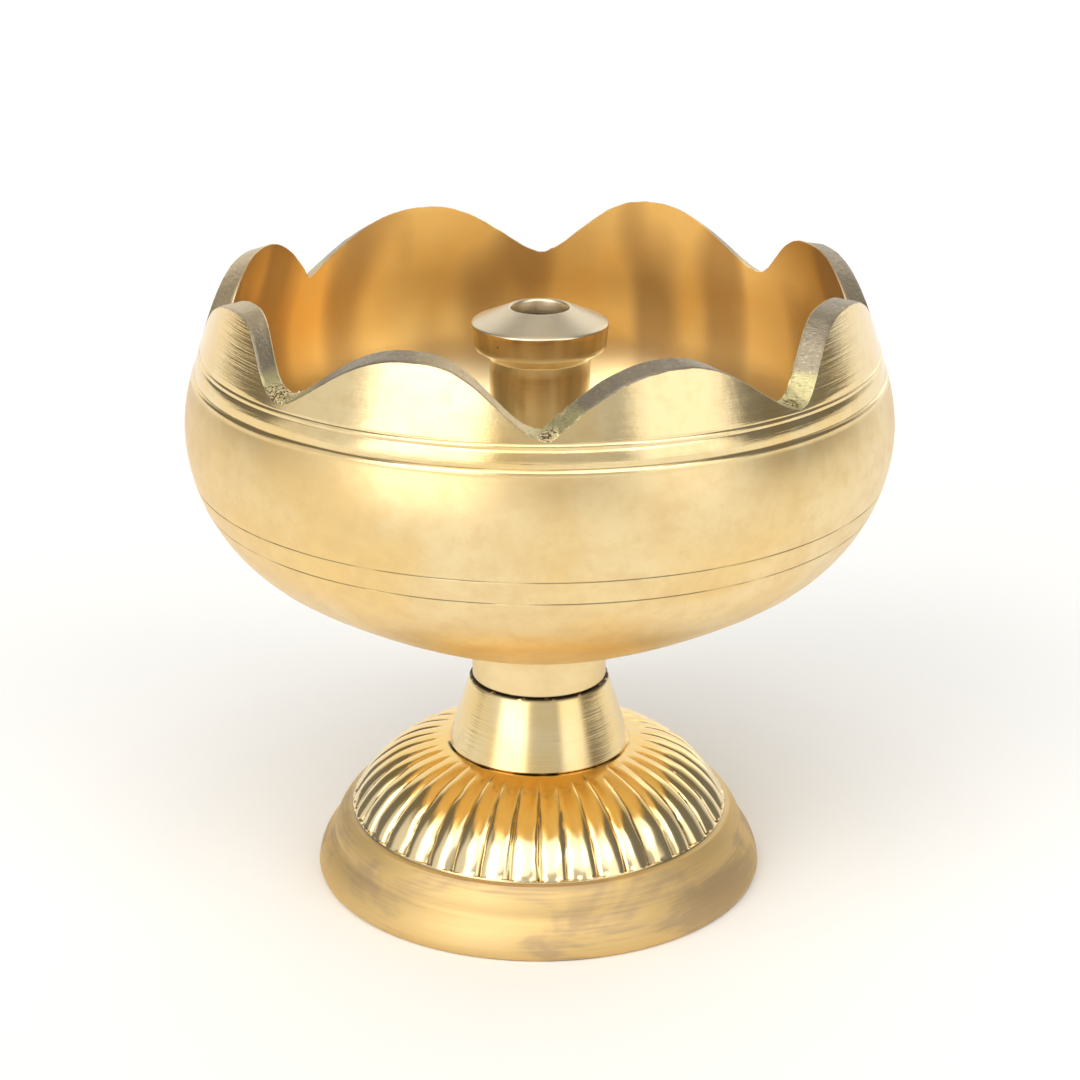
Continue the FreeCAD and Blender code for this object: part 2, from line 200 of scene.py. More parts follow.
# %% The table
def plain(name, color, roughness):
    material = bpy.data.materials.new(name)
    material.use_nodes = True
    shader = material.node_tree.nodes["Principled BSDF"]
    shader.inputs["Base Color"].default_value = (*color, 1)
    shader.inputs["Roughness"].default_value = roughness
    shader.inputs["Specular IOR Level"].default_value = 0.1
    return material


TABLE_RADIUS = 12.0
bm = bmesh.new()
bmesh.ops.create_circle(bm, cap_ends=True, segments=96, radius=TABLE_RADIUS)
mesh = bpy.data.meshes.new("table")
bm.to_mesh(mesh)
bm.free()
table = bpy.data.objects.new("table", mesh)
bpy.context.collection.objects.link(table)
mesh.materials.append(plain("white_table", (0.93, 0.93, 0.92), 0.9))
bpy.context.scene.view_settings.view_transform = "Standard"

# %% [markdown]
# ## Drawing a turned piece
#
# Everything here that isn't steel came off a lathe, so each piece starts as half of its section.
# The pen below draws it from point to point: a line extrudes the last point, and an arc spins it
# round the arc's centre. Spinning the finished section round the lamp's axis then makes the piece,
# as the lathe does. Each point can carry two notes, its share of the way up a wall and how proud or
# deep it is cut, and the spin copies them to the whole ring. They are used later to cut the rim
# and the turned lines, and to tell the outside of a piece from its inside.

# %% The pen and the lathe
class Section:
    """Half of a piece's section in the plane y = 0, as radius and height in millimetres."""

    def __init__(self, radius, height):
        self.bm = bmesh.new()
        notes = self.bm.verts.layers.float
        self.notes = {name: notes.new(name) for name in ("way", "proud", "side")}
        self.first = self.end = self.bm.verts.new((radius, 0, height))
        self.side = 0.0

    def note(self, way=0.0, proud=0.0):
        self.end[self.notes["way"]] = way
        self.end[self.notes["proud"]] = proud
        self.end[self.notes["side"]] = self.side
        return self

    def line(self, radius, height, parts=1):
        start, finish = self.end.co.copy(), Vector((radius, 0, height))
        for part in range(1, parts + 1):
            self.end = bmesh.ops.extrude_vert_indiv(self.bm, verts=[self.end])["verts"][0]
            self.end.co = start.lerp(finish, part / parts)
            self.note()
        return self

    def arc(self, radius, height, bend, parts):
        """An arc to a point. A positive bend turns left, as the outside of a bowl does."""
        start, finish = self.end.co.copy(), Vector((radius, 0, height))
        centre, angle = arc_centre(start, finish, bend)
        for part in range(parts):
            spun = bmesh.ops.spin(
                self.bm, geom=[self.end], cent=centre, axis=(0, -1, 0), dvec=(0, 0, 0),
                angle=angle / parts, space=Matrix.Identity(4), steps=1, use_merge=False,
                use_normal_flip=False, use_duplicate=False)
            self.end = next(
                item for item in spun["geom_last"] if isinstance(item, bmesh.types.BMVert))
            self.note()
        self.end.co = finish
        return self

    def close(self):
        self.bm.edges.new((self.end, self.first))
        return self


def arc_centre(start, finish, bend):
    """Centre of the short arc between two points, and the angle that it sweeps."""
    chord = finish - start
    half = chord.length / 2
    aside = Vector((-chord.z, 0, chord.x)).normalized()
    reach = math.sqrt(bend ** 2 - half ** 2)
    centre = (start + finish) / 2 + aside * math.copysign(reach, bend)
    return centre, math.copysign(2 * math.asin(half / abs(bend)), bend)


def point_on_arc(start, finish, bend, height):
    """Radius at a height on the outward-bulging arc between two points."""
    centre, _ = arc_centre(Vector((start[0], 0, start[1])), Vector((finish[0], 0, finish[1])), bend)
    return centre.x + math.sqrt(bend ** 2 - (height - centre.z) ** 2)


SECTORS = 32


def turned(section, steps):
    """Spin a section once round the lamp's axis and close its poles.

    A spin slows down with every step that it has already made. So it makes one sector in 32,
    and five doublings make the rest. The steps are a multiple of 32.
    """
    bm = section.bm
    sector = math.tau / SECTORS
    bmesh.ops.spin(bm, geom=bm.verts[:] + bm.edges[:], cent=(0, 0, 0), axis=(0, 0, 1),
                   dvec=(0, 0, 0), angle=sector, space=Matrix.Identity(4), steps=steps // SECTORS,
                   use_merge=False, use_normal_flip=False, use_duplicate=False)
    made = 1
    while made < SECTORS:
        copy = bmesh.ops.duplicate(bm, geom=bm.verts[:] + bm.edges[:] + bm.faces[:])["geom"]
        moved = [item for item in copy if isinstance(item, bmesh.types.BMVert)]
        bmesh.ops.rotate(bm, verts=moved, cent=(0, 0, 0),
                         matrix=Matrix.Rotation(sector * made, 3, "Z"))
        made *= 2
    bmesh.ops.remove_doubles(bm, verts=bm.verts, dist=1e-3)
    bmesh.ops.recalc_face_normals(bm, faces=bm.faces)
    bm.normal_update()
    return bm


def side_of(face, layer):
    """The side that a face belongs to: the highest that any of its corners notes."""
    return round(max(vert[layer] for vert in face.verts))


def bearing(point):
    """Degrees from the front of the lamp, positive towards the right."""
    return math.degrees(math.atan2(point.x, -point.y))


def ramp(value, start, end):
    """0 up to the start, 1 from the end on, and straight between them."""
    return min(1.0, max(0.0, (value - start) / (end - start)))


def make_piece(bm, name, finishes, keep=(), crease=32.0):
    """Turn a finished bmesh, drawn in millimetres, into an object with its materials."""
    bmesh.ops.scale(bm, vec=(MM, MM, MM), verts=bm.verts)
    for face in bm.faces:
        face.smooth = True
    for edge in bm.edges:
        edge.smooth = edge.calc_face_angle(0.0) < math.radians(crease)
    for layer in list(bm.verts.layers.float.keys()):
        if layer not in keep:
            bm.verts.layers.float.remove(bm.verts.layers.float[layer])
    mesh = bpy.data.meshes.new(name)
    bm.to_mesh(mesh)
    bm.free()
    piece = bpy.data.objects.new(name, mesh)
    bpy.context.collection.objects.link(piece)
    for finish in finishes:
        mesh.materials.append(finish)
    triangles = sum(len(face.vertices) - 2 for face in mesh.polygons)
    print(f"{name}: {triangles} triangles")
    return piece


# %% [markdown]
# ## Brass finishes
#
# All the brass is one alloy, a pale yellow metal. What differs is how each surface was left: the
# belly is buffed satin, the band above it is bright from the tool, the spool is straight off the
# lathe, the reeds are polished and the file left the rim grey. So one recipe makes them all. It
# takes a pale and a deep colour, which drift into each other as soft clouds, a roughness, and
# the depth of the turning lines, which are noise squeezed along the section and drawn out round
# the axis. Tiny casting pits go through the polish.
#
# A broad, smooth surface keeps its roughness on one side of 0.27. Where the roughness of such a
# metal wall passes that value, a denoised render shows a thin crinkled line across it.

# %% The brass recipe
class Brass(Tree):
    """A brass finish under way, with its Principled shader and its measures ready."""

    def __init__(self, name):
        self.material = bpy.data.materials.new(name)
        self.material.use_nodes = True
        super().__init__(self.material.node_tree)
        self.shader = self.tree.nodes["Principled BSDF"]
        self.shader.inputs["Metallic"].default_value = 1.0
        place = self.node("ShaderNodeTexCoord", output=3)
        self.mm = self.node("ShaderNodeVectorMath", {"operation": "SCALE"},
                            {0: place, "Scale": 1 / MM})
        self.x, self.y, self.z = self.parts(self.mm)
        self.radius = (self.x * self.x + self.y * self.y) ** 0.5

    def lathe(self, fineness, drift=0.12, detail=2.0):
        """Lines that follow the tool round the axis; fineness is lines per millimetre."""
        rings = self.node("ShaderNodeCombineXYZ", {}, {
            0: self.radius * fineness, 1: self.z * fineness, 2: self.x * drift})
        return self.cloud(rings, 1.0, detail, 0.6)

    def around(self, across, along):
        """Noise that changes quickly along the section and slowly round the axis."""
        return self.cloud(self.stretched(self.mm, across, across, along), 1.0, 3.0, 0.55)

    def pits(self, spacing, size):
        """Specks at random places: 1 in a pit, 0 elsewhere."""
        cells = self.node("ShaderNodeTexVoronoi", {"feature": "F1"},
                          {"Vector": self.mm, "Scale": 1 / spacing})
        return cells.step(size * 0.5 / spacing, size / spacing, 1.0, 0.0)

    def wire(self, color=None, roughness=None, bumps=()):
        if color is not None:
            self.tree.links.new(color.socket, self.shader.inputs["Base Color"])
        if roughness is not None:
            self.tree.links.new(roughness.socket, self.shader.inputs["Roughness"])
        normal = None
        for height, depth in bumps:
            inputs = {"Height": height, "Distance": depth * MM, "Strength": 1.0}
            if normal is not None:
                inputs["Normal"] = normal
            normal = self.node("ShaderNodeBump", {}, inputs)
        if normal is not None:
            self.tree.links.new(normal.socket, self.shader.inputs["Normal"])
        return self.material


PALE = (0.865, 0.690, 0.385, 1)
YELLOW = (0.850, 0.610, 0.265, 1)
DEEP = (0.740, 0.520, 0.235, 1)
OLIVE = (0.400, 0.330, 0.180, 1)
BROWN = (0.330, 0.220, 0.120, 1)
TARNISH = (0.055, 0.048, 0.038, 1)

# %% [markdown]
# ## The bowl's three finishes
#
# Outside, the belly below the lower bead is buffed satin with soft cloudy tints, and the crown
# above it keeps the bright, closely ruled surface that the tool left. Polish has dried black in the
# two scribed lines and in the groove above the lower bead. Inside, the bowl is bright. The cut rim
# shows bare filed metal, grey where hands have darkened it and greenish-yellow where it is fresh.

# %% Heights on the bowl that its finishes and its shape share
BEAD, LOWER_BEAD = 60.3, 57.9
SCRIBED, LOWER_SCRIBED = 47.2, 44.65

# %% Outside of the bowl
def bowl_outside():
    brass = Brass("bowl_outside")
    crown = brass.z.step(LOWER_BEAD - 0.45, LOWER_BEAD + 0.15)
    clouds = brass.cloud(brass.mm, 0.055, 3.0, 0.55, 0.4)
    mottle = brass.cloud(brass.mm, 0.55, 4.0, 0.62)
    rubbed = brass.around(0.05, 0.6)
    tint = brass.blend(clouds.step(0.36, 0.62), PALE, YELLOW)
    tint = brass.blend(mottle.step(0.44, 0.70) * 0.34, tint, DEEP)
    worn = brass.cloud(brass.stretched(brass.mm, 0.20, 0.20, 0.34), 1.0, 4.0, 0.65)
    tint = brass.blend(worn.step(0.40, 0.66) * 0.36 * (1 - crown), tint, DEEP)
    shaded = brass.z.step(47, 57) * (1 - crown) * clouds.step(0.30, 0.60)
    tint = brass.blend(shaded * 0.38, tint, (0.620, 0.440, 0.210, 1))
    boss = brass.z.step(26.6, 27.4, 1.0, 0.0)
    tint = brass.blend(boss * 0.4, tint, PALE)
    lines = brass.z.near(SCRIBED, 0.11).at_least(brass.z.near(LOWER_SCRIBED, 0.13))
    lines = lines.at_least(brass.z.near(LOWER_BEAD + 0.34, 0.1) * 0.8)
    lines = lines.at_least(brass.z.near(BEAD - 0.36, 0.08) * 0.35)
    uneven = brass.cloud(brass.stretched(brass.mm, 0.16, 0.16, 0.02), 1.0, 2.0).step(0.36, 0.56)
    seam = brass.z.near(22.5, 0.34) * brass.cloud(brass.mm, 0.9, 2.0).step(0.3, 0.5)
    seam = seam * brass.radius.step(6.5, 7.1)
    root = brass.z.near(27.05, 0.2) * brass.radius.step(8.4, 7.8) * 0.5
    dirt = (lines * (0.12 + 0.60 * uneven)).at_least(seam).at_least(root)
    pits = brass.pits(6.5, 0.13) * crown.step(0.0, 1.0, 1.0, 0.25)
    color = brass.blend(dirt.at_least(pits * 0.55), tint, TARNISH)
    satin = 0.355 + 0.12 * (mottle - 0.5) + 0.10 * (rubbed - 0.5)
    bright = 0.155 + 0.10 * (rubbed - 0.5)
    roughness = satin + (bright - satin) * crown + dirt * 0.3
    ruled = brass.lathe(6.5)
    hair = brass.around(0.9, 14.0)
    coarse = brass.lathe(2.3)
    return brass.wire(color, roughness, (
        (ruled * (0.12 + 0.88 * crown), 0.0120),
        (coarse * (0.03 + 0.97 * crown), 0.0205),
        (hair, 0.0025),
        (mottle, 0.0140),
        (pits, -0.012)))


# %% Inside of the bowl
def bowl_inside():
    brass = Brass("bowl_inside")
    clouds = brass.cloud(brass.mm, 0.07, 3.0, 0.5, 0.3)
    tint = brass.blend(clouds.step(0.35, 0.65), (0.930, 0.750, 0.430, 1), (0.920, 0.670, 0.310, 1))
    runs = brass.cloud(brass.stretched(brass.mm, 0.11, 0.11, 0.015), 1.0, 1.0).step(0.44, 0.64)
    soot = (runs * brass.z.step(42, 54)).at_least(brass.z.step(61, 68) * 0.35)
    color = brass.blend(soot * 0.80, tint, (0.44, 0.31, 0.19, 1))
    roughness = 0.315 + 0.06 * (brass.around(0.04, 0.8) - 0.5) + 0.05 * soot
    return brass.wire(color, roughness, (
        (brass.lathe(2.4), 0.008), (brass.cloud(brass.mm, 0.35, 3.0), 0.018)))


# %% The filed rim
def at_bearing(angle, radius, height):
    """A point, in millimetres, from its bearing, radius and height."""
    return (radius * math.sin(math.radians(angle)), -radius * math.cos(math.radians(angle)), height)


TORN_PLACES = (  # where the saw tore the metal and the file never reached, with the reach
    (at_bearing(-46.5, 34.2, 61.9), 2.3), (at_bearing(1.2, 34.6, 61.0), 1.3),
    (at_bearing(44.2, 34.4, 61.0), 1.0), (at_bearing(131.3, 34, 62.5), 1.2),
    (at_bearing(-86, 34, 62.3), 1.4), (at_bearing(86.5, 34, 62.3), 1.2))


def filed_rim():
    brass = Brass("filed_rim")
    grain = brass.cloud(brass.mm, 2.6, 4.0, 0.65)
    strokes = brass.cloud(brass.stretched(brass.mm, 1.0, 1.0, 5.5), 1.0, 3.0, 0.6, 0.5)
    patches = brass.cloud(brass.mm, 0.22, 2.0, 0.5)
    handled_and_painted_reflection = brass.z.step(62.3, 64.6)
    grey = (0.340, 0.285, 0.200, 1)
    fresh = (0.580, 0.510, 0.260, 1)
    tint = brass.blend((handled_and_painted_reflection + (patches - 0.5) * 0.9).step(0.1, 0.75), fresh, grey)
    golden = brass.x.step(-13.5, -8.0) * brass.x.step(0.0, -1.5) * brass.y.step(0, -20)
    golden = golden.at_least(brass.x.step(-20, -28) * brass.y.step(-20, -12))
    tint = brass.blend(golden * 0.75, tint, (0.660, 0.520, 0.310, 1))
    crumbs = brass.cloud(brass.mm, 4.6, 3.0, 0.6)
    torn_metal = 0.0
    for place, reach in TORN_PLACES:
        apart = brass.node("ShaderNodeVectorMath", {"operation": "DISTANCE"},
                           {0: brass.mm, 1: place}, output=1)
        torn_metal = apart.step(reach * 0.55, reach, 1.0, 0.0).at_least(torn_metal)
    tint = brass.blend(grain.step(0.56, 0.72) * 0.42, tint, TARNISH)
    tint = brass.blend(grain.step(0.42, 0.30) * 0.40, tint, PALE)
    tint = brass.blend(torn_metal * crumbs.step(0.56, 0.46), tint, PALE)
    tint = brass.blend(torn_metal * crumbs.step(0.50, 0.58), tint, TARNISH)
    roughness = 0.40 + 0.25 * (grain - 0.5) - 0.12 * torn_metal
    return brass.wire(tint, roughness, (
        (strokes, 0.05), (grain, 0.06), (crumbs * torn_metal, 0.45)))


print("bowl finishes ready")

# %% [markdown]
# ## The bowl
#
# The bowl is cast, turned inside and out, and only then is its rim cut into eight petals with a
# saw and a file, by eye, so no two petals are quite alike. A boolean could punch eight equal
# notches, but it would leave ragged shading on the thin wall. Instead the section carries its wall
# up to a level rim, and after the spin the wall's points slide along the cone to the height of the
# rim above them. The wall keeps its exact slope, and the cut runs wherever the file took it.

# %% Section of the bowl
SEAM_BREAK = 0.2
TAPPING_RADIUS, TAPPING_DEPTH, TAPPING_BREAK = 3.05, 5.7, 0.3
SOCKET_RADIUS, SOCKET_DEPTH, SOCKET_REST = 4.0, 1.0, 5.6
FLOOR_RADIUS, FLOOR = 9.5, 31.0
BOSS_RADIUS, BOSS_FOOT, BOSS_HEAD = 7.35, 22.5, 27.05
KNUCKLE, BELLY, CROWN = (28.7, 36.7), (37.5, 52.4), (36.3, 58.4)
HOLLOW, INSIDE, THROAT = (27.26, 39.1), (34.9, 52.4), (34.1, 58.0)
RIM_LEVEL, OUTER_BASE, INNER_BASE = 69.0, 60.56, 58.0
CROWN_SLOPE, THROAT_SLOPE, RIM_WALL = 0.3226, 0.3045, 2.1
CUT, INNER = 1.0, 2.0  # the sides after the outside, which is 0


def outer_radius(height):
    return CROWN[0] - CROWN_SLOPE * (height - CROWN[1])


def inner_radius(height):
    return THROAT[0] - THROAT_SLOPE * (height - THROAT[1])


def turned_line(section, radius_at, marks):
    """Points close together across a turned line; each mark is a height and how proud it is."""
    for height, proud in marks:
        section.line(radius_at(height), height).note(proud=proud)


def bowl_section():
    pen = Section(0, BOSS_FOOT + TAPPING_DEPTH)
    pen.line(TAPPING_RADIUS, BOSS_FOOT + TAPPING_DEPTH, 2)
    pen.line(TAPPING_RADIUS, BOSS_FOOT + TAPPING_BREAK, 2)
    pen.line(TAPPING_RADIUS + TAPPING_BREAK, BOSS_FOOT)
    pen.line(BOSS_RADIUS - SEAM_BREAK, BOSS_FOOT, 2).line(BOSS_RADIUS, BOSS_FOOT + SEAM_BREAK)
    pen.line(BOSS_RADIUS, BOSS_HEAD - 0.35, 3).arc(BOSS_RADIUS + 0.3, BOSS_HEAD + 0.02, -0.5, 3)
    pen.arc(*KNUCKLE, 95.0, 10)

    def knuckle_radius(height):
        return point_on_arc(KNUCKLE, BELLY, 18.2, height)

    def belly_radius(height):
        return point_on_arc(BELLY, CROWN, 19.5, height)

    def upward(start, end, parts, radius_at):
        for part in range(1, parts + 1):
            height = start + (end - start) * part / parts
            pen.line(radius_at(height), height)

    upward(KNUCKLE[1], LOWER_SCRIBED - 0.24, 6, knuckle_radius)
    turned_line(pen, knuckle_radius, scribed(LOWER_SCRIBED, 0.10))
    upward(LOWER_SCRIBED + 0.24, SCRIBED - 0.24, 2, knuckle_radius)
    turned_line(pen, knuckle_radius, scribed(SCRIBED, 0.075))
    upward(SCRIBED + 0.24, BELLY[1], 4, knuckle_radius)
    upward(BELLY[1], LOWER_BEAD - 0.55, 5, belly_radius)
    turned_line(pen, belly_radius, (
        (LOWER_BEAD - 0.38, 0.0), (LOWER_BEAD - 0.24, 0.035), (LOWER_BEAD - 0.05, 0.060),
        (LOWER_BEAD + 0.14, 0.035), (LOWER_BEAD + 0.27, -0.05), (LOWER_BEAD + 0.34, -0.10),
        (LOWER_BEAD + 0.41, -0.05), (LOWER_BEAD + 0.48, 0.0)))
    turned_line(pen, outer_radius, (
        (BEAD - 0.9, 0.0), (BEAD - 0.42, 0.0), (BEAD - 0.34, -0.03), (BEAD - 0.24, 0.015),
        (BEAD - 0.12, 0.050), (BEAD, 0.060), (BEAD + 0.12, 0.035), (BEAD + 0.19, -0.025)))
    for way in (0.0, 0.1, 0.3, 0.5, 0.7, 0.85, 0.94, 1.0):
        height = OUTER_BASE + (RIM_LEVEL - OUTER_BASE) * way
        pen.line(outer_radius(height), height).note(way=max(way, 1e-4))
    pen.side = CUT
    for share in (0.07, 0.2, 0.35, 0.5, 0.65, 0.8, 0.93):
        pen.line(outer_radius(RIM_LEVEL) - RIM_WALL * share, RIM_LEVEL).note(way=1 + share)
    pen.side = INNER
    for way in (1.0, 0.94, 0.85, 0.7, 0.5, 0.3, 0.1):
        height = INNER_BASE + (RIM_LEVEL - INNER_BASE) * way
        pen.line(inner_radius(height), height).note(way=3 - way)
    pen.line(*THROAT).arc(*INSIDE, -20.0, 4).arc(*HOLLOW, -15.8, 11)
    pen.arc(FLOOR_RADIUS, FLOOR, -85.0, 8).line(SOCKET_REST, FLOOR, 2).line(SOCKET_RADIUS, FLOOR)
    pen.line(SOCKET_RADIUS, FLOOR - SOCKET_DEPTH).line(0, FLOOR - SOCKET_DEPTH, 2)
    return pen


def scribed(height, depth):
    return ((height - 0.24, 0.0), (height - 0.09, 0.0), (height - 0.03, -depth),
            (height + 0.04, -depth), (height + 0.10, 0.012), (height + 0.24, 0.0))


# %% [markdown]
# ### The rim, petal by petal
#
# Each petal has a tip and each cut between two petals has a foot. From foot to tip the edge rises
# on a curve with two numbers: the first says how full the petal's shoulder is, the second how
# sharply the foot is pinched (below 1 it is a sharp V, near 2 it is round). The saw was held a
# little askew, so the outer edge follows the inner one 1.3 degrees behind and half a millimetre
# lower, or nearly a whole one at the back. Where a cut was left rough, the metal is torn in steps
# that the file didn't reach.

# %% Heights of the rim
CUTS = (  # bearing in degrees, height of the foot
    (-128.0, 62.0), (-85.0, 62.3), (-46.0, 61.7), (0.3, 61.3),
    (44.0, 61.3), (86.5, 62.3), (131.3, 62.5), (180.0, 62.0))
PETALS = (  # bearing, height, then fullness and pinch of the left and of the right flank
    (-153.8, 68.4, 2.3, 1.6, 2.2, 1.2), (-106.0, 68.3, 2.3, 1.0, 2.2, 1.0),
    (-64.5, 67.8, 2.0, 0.7, 2.5, 2.9), (-21.5, 67.6, 2.4, 1.6, 2.5, 2.2),
    (22.0, 67.0, 2.2, 1.1, 2.2, 1.9), (65.0, 68.2, 2.9, 1.9, 2.0, 0.7),
    (108.0, 68.4, 2.2, 1.0, 3.2, 1.9), (155.7, 69.0, 2.4, 2.0, 2.4, 1.9))
ASKEW, STEP_DOWN, BACK_STEP = 1.3, 0.5, 0.95
LEAST_WALL, CORNER = 0.12, 0.10  # wall left above the upper bead, and the rubbed corner of the cut


def rim_height(angle):
    """Height of the rim's inner edge at a bearing."""
    angle = (angle + 180) % 360 - 180
    feet = [(CUTS[-1][0] - 360, CUTS[-1][1])] + list(CUTS)
    for (left, left_foot), (right, right_foot), petal in zip(feet, feet[1:], PETALS):
        if left <= angle <= right:
            tip, crest, fuller, pinch, fuller_right, pinch_right = petal
            if angle <= tip:
                share, foot = (angle - left) / (tip - left), left_foot
            else:
                share, foot = (right - angle) / (right - tip), right_foot
                fuller, pinch = fuller_right, pinch_right
            return foot + (crest - foot) * (1 - (1 - share) ** fuller) ** pinch
    return CUTS[-1][1]


ROUGH = (  # bearing, reach in degrees, depth of the torn metal in millimetres
    (-46.0, 3.2, 0.42), (2.5, 5.5, 0.16), (46.0, 3.0, 0.20), (131.0, 3.0, 0.15),
    (-128.0, 3.0, 0.15), (86.5, 3.0, 0.2), (-85.0, 3.0, 0.2), (179.0, 3.0, 0.12))


def torn(angle, across, seed):
    """How far the edge stands off its curve, in millimetres."""
    grain = noise.noise(Vector((angle * 1.5, across * 5.0, seed)))
    fine = noise.noise(Vector((angle * 0.45, across * 1.2, seed + 9)))
    depth = 0.03
    for middle, reach, tear in ROUGH:
        apart = abs((angle - middle + 180) % 360 - 180) / reach
        depth += tear * max(0.0, 1 - apart * apart)
    return depth * grain + 0.05 * fine


# %% Spin the bowl and cut its rim
BOWL_STEPS = 832


def outer_height(angle):
    """Height of the rim's outer edge: a little lower than the inner one, and more so at the back.

    The saw was turned the other way for the cuts at the left and behind.
    """
    share = 0.0 if 0 < angle < 112 else ramp(abs(angle), 70, 110)
    lean = 1.0 if angle > 0 else 1 - 2 * ramp(-angle, 60, 80)
    lean *= ramp(180 - abs(angle), 0, 6)
    step = STEP_DOWN + (BACK_STEP - STEP_DOWN) * share
    return max(rim_height(angle - ASKEW * lean) - step, OUTER_BASE + LEAST_WALL)


def cut_rim(bm, notes):
    way_note, proud_note = notes["way"], notes["proud"]
    edge_heights = []
    for vert in bm.verts:
        way, proud = vert[way_note], vert[proud_note]
        angle = bearing(vert.co)
        if proud:
            wear = 0.55 + 0.9 * noise.noise(Vector((angle * 0.05, vert.co.z, 4)))
            fade = 1.0 if vert.co.z > BELLY[1] else min(1.0, max(0.15, wear))
            vert.co += vert.normal * proud * fade
        if not way:
            continue
        inner = rim_height(angle)
        outer = outer_height(angle)
        if way <= 1:
            edge = outer - CORNER + torn(angle, 0, 1)
            height = OUTER_BASE + (max(edge, OUTER_BASE + 0.08) - OUTER_BASE) * way
            radius = outer_radius(height)
        elif way < 2:
            share = way - 1
            height = outer + (inner - outer) * share + torn(angle, share, 1)
            height = max(height, OUTER_BASE + LEAST_WALL)
            edge_heights.append(height)
            radius = outer_radius(outer) + (inner_radius(inner) - outer_radius(outer)) * share
        else:
            edge = inner - CORNER + torn(angle, 1, 1)
            height = INNER_BASE + (edge - INNER_BASE) * (3 - way)
            radius = inner_radius(height)
        flat = Vector((vert.co.x, vert.co.y, 0)).normalized() * radius
        vert.co = Vector((flat.x, flat.y, height))
    print(f"rim cut between {min(edge_heights):.1f} and {max(edge_heights):.1f} mm")


pen = bowl_section()
bm = turned(pen, BOWL_STEPS)
notes = {name: bm.verts.layers.float[name] for name in ("way", "proud", "side")}
for face in bm.faces:
    face.material_index = side_of(face, notes["side"])
cut_rim(bm, notes)
bm.normal_update()
bowl = make_piece(bm, "lamp_bowl", [bowl_outside(), filed_rim(), bowl_inside()])
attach(bowl, "bowl")
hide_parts("bowl")

# %% [markdown]
# ## The wick holder
#
# The spool is turned from rod, drilled from above for the wick and cross-drilled near its foot so
# that oil can run in. Its head has a low cone on top and two small bright chamfers. It is spun from
# its section like the bowl. The four oil holes are drilled with a boolean, because they cross the
# bore, and no operator of the lathe kind makes a hole from the side.

# %% Finish of the spool
def spool_brass():
    brass = Brass("spool_brass")
    clouds = brass.cloud(brass.mm, 0.16, 3.0, 0.55)
    straw = (0.735, 0.635, 0.450, 1)
    tint = brass.blend(clouds.step(0.34, 0.66), straw, (0.700, 0.575, 0.385, 1))
    oil = brass.around(0.25, 0.12).step(0.52, 0.72) * brass.z.step(60.2, 58.0)
    color = brass.blend(oil * 0.4, tint, BROWN)
    color = brass.blend(brass.pits(3.0, 0.16) * 0.6, color, TARNISH)
    top = brass.z.step(62.3, 62.7)
    roughness = 0.21 + 0.13 * top + 0.10 * (brass.lathe(3.0) - 0.5)
    return brass.wire(color, roughness, (
        (brass.lathe(6.0), 0.0055), (brass.cloud(brass.mm, 1.2, 3.0), 0.004)))


# %% Section of the spool
SPIGOT_RADIUS, SPIGOT_FOOT, SPOOL_BREAK = 3.95, 30.1, 0.2
STEM_RADIUS, STEM_HEAD = 5.35, 58.7
HEAD_FOOT, HEAD_EDGE = (7.0, 59.98), (7.25, 62.30)
WICK_RADIUS, WICK_FLOOR = 3.05, 38.2
FEED_RADIUS, FEED_FLOOR = 2.1, 33.0
PORT_RADIUS, PORT_HEIGHT, PORTS = 1.6, 35.0, 4


def spool_section():
    pen = Section(0, SPIGOT_FOOT)
    pen.line(SPIGOT_RADIUS - SPOOL_BREAK, SPIGOT_FOOT, 2)
    pen.line(SPIGOT_RADIUS, SPIGOT_FOOT + SPOOL_BREAK).line(SPIGOT_RADIUS, FLOOR)
    pen.line(STEM_RADIUS - SPOOL_BREAK, FLOOR).line(STEM_RADIUS, FLOOR + SPOOL_BREAK)
    pen.line(STEM_RADIUS, STEM_HEAD, 24).arc(5.55, 58.98, -0.35, 3)
    pen.line(6.80, 59.82, 2).arc(*HEAD_FOOT, 0.25, 2)
    pen.line(*HEAD_EDGE, 5).arc(7.08, 62.60, 0.25, 3)
    pen.line(3.38, 64.14, 8).arc(WICK_RADIUS, 63.85, 0.30, 3)
    pen.line(WICK_RADIUS, WICK_FLOOR + 0.3, 14).line(2.85, WICK_FLOOR)
    pen.line(FEED_RADIUS, WICK_FLOOR).line(FEED_RADIUS, FEED_FLOOR, 4).line(0, FEED_FLOOR, 2)
    return pen


def drill_ports(piece, height, radius, count):
    """Cut round holes through the stem from the side, as a drill does."""
    bm = bmesh.new()
    drills = count // 2
    level = Matrix.Translation((0, 0, height * MM))
    lying = Matrix.Rotation(math.radians(90), 4, "Y")
    for index in range(drills):
        turn = Matrix.Rotation(math.pi * index / drills, 4, "Z")
        bmesh.ops.create_cone(bm, cap_ends=True, cap_tris=False, segments=32, radius1=radius * MM,
                              radius2=radius * MM, depth=20 * MM, matrix=level @ turn @ lying)
    mesh = bpy.data.meshes.new("drill")
    bm.to_mesh(mesh)
    bm.free()
    drill = bpy.data.objects.new("drill", mesh)
    bpy.context.collection.objects.link(drill)
    cut = piece.modifiers.new("ports", "BOOLEAN")
    cut.object, cut.operation, cut.solver = drill, "DIFFERENCE", "EXACT"
    cut.use_self = True
    drilled = piece.evaluated_get(bpy.context.evaluated_depsgraph_get())
    made = bpy.data.meshes.new_from_object(drilled)
    piece.modifiers.clear()
    piece.data = made
    made.name = piece.name
    bpy.data.objects.remove(drill)


